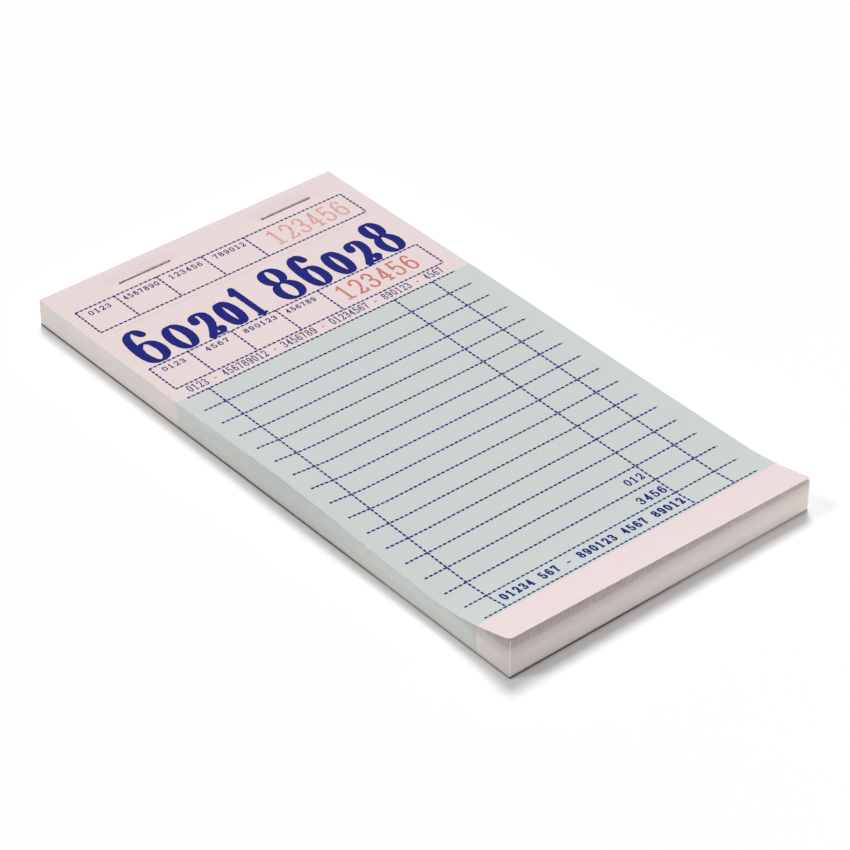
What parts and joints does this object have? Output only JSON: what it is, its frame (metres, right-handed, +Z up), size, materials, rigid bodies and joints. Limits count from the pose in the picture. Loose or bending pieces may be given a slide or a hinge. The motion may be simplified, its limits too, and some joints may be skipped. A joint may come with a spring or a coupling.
{
  "type": "guest check pad",
  "caption": "Stapled pad of perforated guest checks on a chipboard back, for writing an order, turning the sheet up and tearing it off.",
  "frame": {"origin": "on the table, at the middle of the pad's bounding box seen from above", "axes": "+Y along the pad towards the stapled head, +X to the right across the pad as it is read, +Z up out of the top sheet"},
  "size_m": [0.0888, 0.1702, 0.0109],
  "materials": {
    "check_paper": "matt uncoated printing paper, green-grey tint with pink ends",
    "stub_paper": "matt uncoated printing paper, pink tint",
    "chipboard": "matt unlined chipboard",
    "staple_wire": "drawn round wire"
  },
  "bodies": {
    "stapled_head": {"stub_01": "stub_paper", "stubs_02_11": "stub_paper", "stubs_12_21": "stub_paper", "stubs_22_31": "stub_paper", "stubs_32_41": "stub_paper", "stubs_42_50": "stub_paper", "backing_board": "chipboard", "staple_left": "staple_wire", "staple_right": "staple_wire"},
    "check_01": {"check_01": "check_paper"},
    "check_02": {"check_02": "check_paper"},
    "check_03": {"check_03": "check_paper"},
    "check_04": {"check_04": "check_paper"},
    "check_05": {"check_05": "check_paper"},
    "check_06": {"check_06": "check_paper"},
    "check_07": {"check_07": "check_paper"},
    "check_08": {"check_08": "check_paper"},
    "check_09": {"check_09": "check_paper"},
    "check_10": {"check_10": "check_paper"},
    "check_11": {"check_11": "check_paper"},
    "check_12": {"check_12": "check_paper"},
    "check_13": {"check_13": "check_paper"},
    "check_14": {"check_14": "check_paper"},
    "check_15": {"check_15": "check_paper"},
    "check_16": {"check_16": "check_paper"},
    "check_17": {"check_17": "check_paper"},
    "check_18": {"check_18": "check_paper"},
    "check_19": {"check_19": "check_paper"},
    "check_20": {"check_20": "check_paper"},
    "check_21": {"check_21": "check_paper"},
    "check_22": {"check_22": "check_paper"},
    "check_23": {"check_23": "check_paper"},
    "check_24": {"check_24": "check_paper"},
    "check_25": {"check_25": "check_paper"},
    "check_26": {"check_26": "check_paper"},
    "check_27": {"check_27": "check_paper"},
    "check_28": {"check_28": "check_paper"},
    "check_29": {"check_29": "check_paper"},
    "check_30": {"check_30": "check_paper"},
    "check_31": {"check_31": "check_paper"},
    "check_32": {"check_32": "check_paper"},
    "check_33": {"check_33": "check_paper"},
    "check_34": {"check_34": "check_paper"},
    "check_35": {"check_35": "check_paper"},
    "check_36": {"check_36": "check_paper"},
    "check_37": {"check_37": "check_paper"},
    "check_38": {"check_38": "check_paper"},
    "check_39": {"check_39": "check_paper"},
    "check_40": {"check_40": "check_paper"},
    "check_41": {"check_41": "check_paper"},
    "check_42": {"check_42": "check_paper"},
    "check_43": {"check_43": "check_paper"},
    "check_44": {"check_44": "check_paper"},
    "check_45": {"check_45": "check_paper"},
    "check_46": {"check_46": "check_paper"},
    "check_47": {"check_47": "check_paper"},
    "check_48": {"check_48": "check_paper"},
    "check_49": {"check_49": "check_paper"},
    "check_50": {"check_50": "check_paper"}
  },
  "joints": [
    {"name": "check_02_turn", "type": "hinge", "parent": "stapled_head", "child": "check_02", "pos_m": [0, 0.06268, 0.0072], "axis": [-1, 0, 0], "range_deg": [0, 55]},
    {"name": "check_01_turn", "type": "hinge", "parent": "check_02", "child": "check_01", "pos_m": [0, 0.06268, 0.0072], "axis": [-1, 0, 0], "range_deg": [0, 120]},
    {"name": "check_03_turn", "type": "hinge", "parent": "stapled_head", "child": "check_03", "pos_m": [0, 0.06268, 0.0072], "axis": [-1, 0, 0], "range_deg": [0, 53.95]},
    {"name": "check_04_turn", "type": "hinge", "parent": "stapled_head", "child": "check_04", "pos_m": [0, 0.06268, 0.0072], "axis": [-1, 0, 0], "range_deg": [0, 52.9]},
    {"name": "check_05_turn", "type": "hinge", "parent": "stapled_head", "child": "check_05", "pos_m": [0, 0.06268, 0.0072], "axis": [-1, 0, 0], "range_deg": [0, 51.85]},
    {"name": "check_06_turn", "type": "hinge", "parent": "stapled_head", "child": "check_06", "pos_m": [0, 0.06268, 0.0072], "axis": [-1, 0, 0], "range_deg": [0, 50.79]},
    {"name": "check_07_turn", "type": "hinge", "parent": "stapled_head", "child": "check_07", "pos_m": [0, 0.06268, 0.0072], "axis": [-1, 0, 0], "range_deg": [0, 49.74]},
    {"name": "check_08_turn", "type": "hinge", "parent": "stapled_head", "child": "check_08", "pos_m": [0, 0.06268, 0.0072], "axis": [-1, 0, 0], "range_deg": [0, 48.68]},
    {"name": "check_09_turn", "type": "hinge", "parent": "stapled_head", "child": "check_09", "pos_m": [0, 0.06268, 0.0072], "axis": [-1, 0, 0], "range_deg": [0, 47.63]},
    {"name": "check_10_turn", "type": "hinge", "parent": "stapled_head", "child": "check_10", "pos_m": [0, 0.06268, 0.0072], "axis": [-1, 0, 0], "range_deg": [0, 46.58]},
    {"name": "check_11_turn", "type": "hinge", "parent": "stapled_head", "child": "check_11", "pos_m": [0, 0.06268, 0.0072], "axis": [-1, 0, 0], "range_deg": [0, 45.52]},
    {"name": "check_12_turn", "type": "hinge", "parent": "stapled_head", "child": "check_12", "pos_m": [0, 0.06268, 0.0072], "axis": [-1, 0, 0], "range_deg": [0, 44.47]},
    {"name": "check_13_turn", "type": "hinge", "parent": "stapled_head", "child": "check_13", "pos_m": [0, 0.06268, 0.0072], "axis": [-1, 0, 0], "range_deg": [0, 43.42]},
    {"name": "check_14_turn", "type": "hinge", "parent": "stapled_head", "child": "check_14", "pos_m": [0, 0.06268, 0.0072], "axis": [-1, 0, 0], "range_deg": [0, 42.36]},
    {"name": "check_15_turn", "type": "hinge", "parent": "stapled_head", "child": "check_15", "pos_m": [0, 0.06268, 0.0072], "axis": [-1, 0, 0], "range_deg": [0, 41.3]},
    {"name": "check_16_turn", "type": "hinge", "parent": "stapled_head", "child": "check_16", "pos_m": [0, 0.06268, 0.0072], "axis": [-1, 0, 0], "range_deg": [0, 40.25]},
    {"name": "check_17_turn", "type": "hinge", "parent": "stapled_head", "child": "check_17", "pos_m": [0, 0.06268, 0.0072], "axis": [-1, 0, 0], "range_deg": [0, 39.2]},
    {"name": "check_18_turn", "type": "hinge", "parent": "stapled_head", "child": "check_18", "pos_m": [0, 0.06268, 0.0072], "axis": [-1, 0, 0], "range_deg": [0, 38.14]},
    {"name": "check_19_turn", "type": "hinge", "parent": "stapled_head", "child": "check_19", "pos_m": [0, 0.06268, 0.0072], "axis": [-1, 0, 0], "range_deg": [0, 37.09]},
    {"name": "check_20_turn", "type": "hinge", "parent": "stapled_head", "child": "check_20", "pos_m": [0, 0.06268, 0.0072], "axis": [-1, 0, 0], "range_deg": [0, 36.03]},
    {"name": "check_21_turn", "type": "hinge", "parent": "stapled_head", "child": "check_21", "pos_m": [0, 0.06268, 0.0072], "axis": [-1, 0, 0], "range_deg": [0, 34.98]},
    {"name": "check_22_turn", "type": "hinge", "parent": "stapled_head", "child": "check_22", "pos_m": [0, 0.06268, 0.0072], "axis": [-1, 0, 0], "range_deg": [0, 33.93]},
    {"name": "check_23_turn", "type": "hinge", "parent": "stapled_head", "child": "check_23", "pos_m": [0, 0.06268, 0.0072], "axis": [-1, 0, 0], "range_deg": [0, 32.87]},
    {"name": "check_24_turn", "type": "hinge", "parent": "stapled_head", "child": "check_24", "pos_m": [0, 0.06268, 0.0072], "axis": [-1, 0, 0], "range_deg": [0, 31.82]},
    {"name": "check_25_turn", "type": "hinge", "parent": "stapled_head", "child": "check_25", "pos_m": [0, 0.06268, 0.0072], "axis": [-1, 0, 0], "range_deg": [0, 30.77]},
    {"name": "check_26_turn", "type": "hinge", "parent": "stapled_head", "child": "check_26", "pos_m": [0, 0.06268, 0.0072], "axis": [-1, 0, 0], "range_deg": [0, 29.71]},
    {"name": "check_27_turn", "type": "hinge", "parent": "stapled_head", "child": "check_27", "pos_m": [0, 0.06268, 0.0072], "axis": [-1, 0, 0], "range_deg": [0, 28.65]},
    {"name": "check_28_turn", "type": "hinge", "parent": "stapled_head", "child": "check_28", "pos_m": [0, 0.06268, 0.0072], "axis": [-1, 0, 0], "range_deg": [0, 27.6]},
    {"name": "check_29_turn", "type": "hinge", "parent": "stapled_head", "child": "check_29", "pos_m": [0, 0.06268, 0.0072], "axis": [-1, 0, 0], "range_deg": [0, 26.55]},
    {"name": "check_30_turn", "type": "hinge", "parent": "stapled_head", "child": "check_30", "pos_m": [0, 0.06268, 0.0072], "axis": [-1, 0, 0], "range_deg": [0, 25.49]},
    {"name": "check_31_turn", "type": "hinge", "parent": "stapled_head", "child": "check_31", "pos_m": [0, 0.06268, 0.0072], "axis": [-1, 0, 0], "range_deg": [0, 24.44]},
    {"name": "check_32_turn", "type": "hinge", "parent": "stapled_head", "child": "check_32", "pos_m": [0, 0.06268, 0.0072], "axis": [-1, 0, 0], "range_deg": [0, 23.39]},
    {"name": "check_33_turn", "type": "hinge", "parent": "stapled_head", "child": "check_33", "pos_m": [0, 0.06268, 0.0072], "axis": [-1, 0, 0], "range_deg": [0, 22.33]},
    {"name": "check_34_turn", "type": "hinge", "parent": "stapled_head", "child": "check_34", "pos_m": [0, 0.06268, 0.0072], "axis": [-1, 0, 0], "range_deg": [0, 21.28]},
    {"name": "check_35_turn", "type": "hinge", "parent": "stapled_head", "child": "check_35", "pos_m": [0, 0.06268, 0.0072], "axis": [-1, 0, 0], "range_deg": [0, 20.22]},
    {"name": "check_36_turn", "type": "hinge", "parent": "stapled_head", "child": "check_36", "pos_m": [0, 0.06268, 0.0072], "axis": [-1, 0, 0], "range_deg": [0, 19.17]},
    {"name": "check_37_turn", "type": "hinge", "parent": "stapled_head", "child": "check_37", "pos_m": [0, 0.06268, 0.0072], "axis": [-1, 0, 0], "range_deg": [0, 18.12]},
    {"name": "check_38_turn", "type": "hinge", "parent": "stapled_head", "child": "check_38", "pos_m": [0, 0.06268, 0.0072], "axis": [-1, 0, 0], "range_deg": [0, 17.06]},
    {"name": "check_39_turn", "type": "hinge", "parent": "stapled_head", "child": "check_39", "pos_m": [0, 0.06268, 0.0072], "axis": [-1, 0, 0], "range_deg": [0, 16]},
    {"name": "check_40_turn", "type": "hinge", "parent": "stapled_head", "child": "check_40", "pos_m": [0, 0.06268, 0.0072], "axis": [-1, 0, 0], "range_deg": [0, 14.95]},
    {"name": "check_41_turn", "type": "hinge", "parent": "stapled_head", "child": "check_41", "pos_m": [0, 0.06268, 0.0072], "axis": [-1, 0, 0], "range_deg": [0, 13.9]},
    {"name": "check_42_turn", "type": "hinge", "parent": "stapled_head", "child": "check_42", "pos_m": [0, 0.06268, 0.0072], "axis": [-1, 0, 0], "range_deg": [0, 12.84]},
    {"name": "check_43_turn", "type": "hinge", "parent": "stapled_head", "child": "check_43", "pos_m": [0, 0.06268, 0.0072], "axis": [-1, 0, 0], "range_deg": [0, 11.79]},
    {"name": "check_44_turn", "type": "hinge", "parent": "stapled_head", "child": "check_44", "pos_m": [0, 0.06268, 0.0072], "axis": [-1, 0, 0], "range_deg": [0, 10.73]},
    {"name": "check_45_turn", "type": "hinge", "parent": "stapled_head", "child": "check_45", "pos_m": [0, 0.06268, 0.0072], "axis": [-1, 0, 0], "range_deg": [0, 9.68]},
    {"name": "check_46_turn", "type": "hinge", "parent": "stapled_head", "child": "check_46", "pos_m": [0, 0.06268, 0.0072], "axis": [-1, 0, 0], "range_deg": [0, 8.63]},
    {"name": "check_47_turn", "type": "hinge", "parent": "stapled_head", "child": "check_47", "pos_m": [0, 0.06268, 0.0072], "axis": [-1, 0, 0], "range_deg": [0, 7.57]},
    {"name": "check_48_turn", "type": "hinge", "parent": "stapled_head", "child": "check_48", "pos_m": [0, 0.06268, 0.0072], "axis": [-1, 0, 0], "range_deg": [0, 6.52]},
    {"name": "check_49_turn", "type": "hinge", "parent": "stapled_head", "child": "check_49", "pos_m": [0, 0.06268, 0.0072], "axis": [-1, 0, 0], "range_deg": [0, 5.47]},
    {"name": "check_50_turn", "type": "hinge", "parent": "stapled_head", "child": "check_50", "pos_m": [0, 0.06268, 0.0072], "axis": [-1, 0, 0], "range_deg": [0, 4.41]}
  ],
  "couplings": [
    {"joint": "check_03_turn", "follows": "check_02_turn", "ratio": 0.9808},
    {"joint": "check_04_turn", "follows": "check_02_turn", "ratio": 0.9617},
    {"joint": "check_05_turn", "follows": "check_02_turn", "ratio": 0.9425},
    {"joint": "check_06_turn", "follows": "check_02_turn", "ratio": 0.9233},
    {"joint": "check_07_turn", "follows": "check_02_turn", "ratio": 0.9042},
    {"joint": "check_08_turn", "follows": "check_02_turn", "ratio": 0.885},
    {"joint": "check_09_turn", "follows": "check_02_turn", "ratio": 0.8658},
    {"joint": "check_10_turn", "follows": "check_02_turn", "ratio": 0.8467},
    {"joint": "check_11_turn", "follows": "check_02_turn", "ratio": 0.8275},
    {"joint": "check_12_turn", "follows": "check_02_turn", "ratio": 0.8083},
    {"joint": "check_13_turn", "follows": "check_02_turn", "ratio": 0.7892},
    {"joint": "check_14_turn", "follows": "check_02_turn", "ratio": 0.77},
    {"joint": "check_15_turn", "follows": "check_02_turn", "ratio": 0.7508},
    {"joint": "check_16_turn", "follows": "check_02_turn", "ratio": 0.7317},
    {"joint": "check_17_turn", "follows": "check_02_turn", "ratio": 0.7125},
    {"joint": "check_18_turn", "follows": "check_02_turn", "ratio": 0.6933},
    {"joint": "check_19_turn", "follows": "check_02_turn", "ratio": 0.6742},
    {"joint": "check_20_turn", "follows": "check_02_turn", "ratio": 0.655},
    {"joint": "check_21_turn", "follows": "check_02_turn", "ratio": 0.6358},
    {"joint": "check_22_turn", "follows": "check_02_turn", "ratio": 0.6167},
    {"joint": "check_23_turn", "follows": "check_02_turn", "ratio": 0.5975},
    {"joint": "check_24_turn", "follows": "check_02_turn", "ratio": 0.5783},
    {"joint": "check_25_turn", "follows": "check_02_turn", "ratio": 0.5592},
    {"joint": "check_26_turn", "follows": "check_02_turn", "ratio": 0.54},
    {"joint": "check_27_turn", "follows": "check_02_turn", "ratio": 0.5208},
    {"joint": "check_28_turn", "follows": "check_02_turn", "ratio": 0.5017},
    {"joint": "check_29_turn", "follows": "check_02_turn", "ratio": 0.4825},
    {"joint": "check_30_turn", "follows": "check_02_turn", "ratio": 0.4633},
    {"joint": "check_31_turn", "follows": "check_02_turn", "ratio": 0.4442},
    {"joint": "check_32_turn", "follows": "check_02_turn", "ratio": 0.425},
    {"joint": "check_33_turn", "follows": "check_02_turn", "ratio": 0.4058},
    {"joint": "check_34_turn", "follows": "check_02_turn", "ratio": 0.3867},
    {"joint": "check_35_turn", "follows": "check_02_turn", "ratio": 0.3675},
    {"joint": "check_36_turn", "follows": "check_02_turn", "ratio": 0.3483},
    {"joint": "check_37_turn", "follows": "check_02_turn", "ratio": 0.3292},
    {"joint": "check_38_turn", "follows": "check_02_turn", "ratio": 0.31},
    {"joint": "check_39_turn", "follows": "check_02_turn", "ratio": 0.2908},
    {"joint": "check_40_turn", "follows": "check_02_turn", "ratio": 0.2717},
    {"joint": "check_41_turn", "follows": "check_02_turn", "ratio": 0.2525},
    {"joint": "check_42_turn", "follows": "check_02_turn", "ratio": 0.2333},
    {"joint": "check_43_turn", "follows": "check_02_turn", "ratio": 0.2142},
    {"joint": "check_44_turn", "follows": "check_02_turn", "ratio": 0.195},
    {"joint": "check_45_turn", "follows": "check_02_turn", "ratio": 0.1758},
    {"joint": "check_46_turn", "follows": "check_02_turn", "ratio": 0.1567},
    {"joint": "check_47_turn", "follows": "check_02_turn", "ratio": 0.1375},
    {"joint": "check_48_turn", "follows": "check_02_turn", "ratio": 0.1183},
    {"joint": "check_49_turn", "follows": "check_02_turn", "ratio": 0.0992},
    {"joint": "check_50_turn", "follows": "check_02_turn", "ratio": 0.08}
  ]
}
